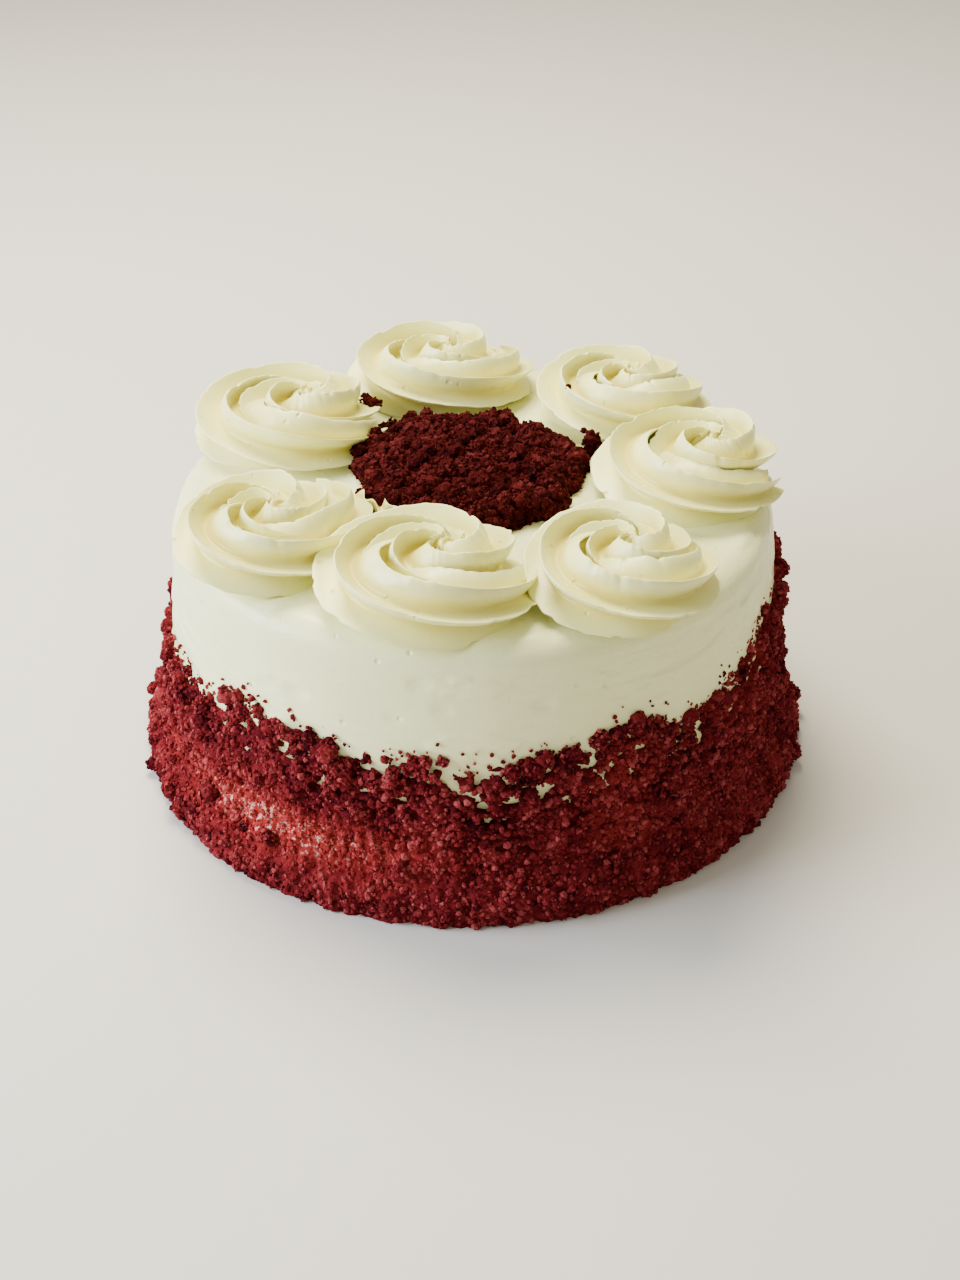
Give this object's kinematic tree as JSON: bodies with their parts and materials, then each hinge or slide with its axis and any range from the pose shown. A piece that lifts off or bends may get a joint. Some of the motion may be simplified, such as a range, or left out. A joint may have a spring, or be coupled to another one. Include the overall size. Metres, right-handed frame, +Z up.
{
  "type": "red velvet cake",
  "caption": "Round frosted layer cake with piped rosettes round its top edge, a crumb heap in the middle and a crumb-coated lower side.",
  "frame": {"origin": "centre of the cake's flat base, on the surface it stands on", "axes": "+Z up through the cake's middle, -Y towards the side the picture shows, +X to the right in the picture"},
  "size_m": [0.2196, 0.219, 0.1073],
  "materials": {
    "frosting": "smooth hand-spread cream frosting, satin, slightly translucent",
    "piped_frosting": "piped cream frosting, satin, slightly translucent",
    "red_crumbs": "dry, matt, coarse cake crumbs"
  },
  "bodies": {
    "root": {"cake_body": "frosting", "crumb_coat": "red_crumbs", "rosette_front": "piped_frosting", "rosette_front_right": "piped_frosting", "rosette_front_left": "piped_frosting", "rosette_right": "piped_frosting", "rosette_back_left": "piped_frosting", "rosette_back_right": "piped_frosting", "rosette_back": "piped_frosting", "crumb_heap": "red_crumbs", "crumb_lump_loose": "red_crumbs"}
  },
  "joints": []
}
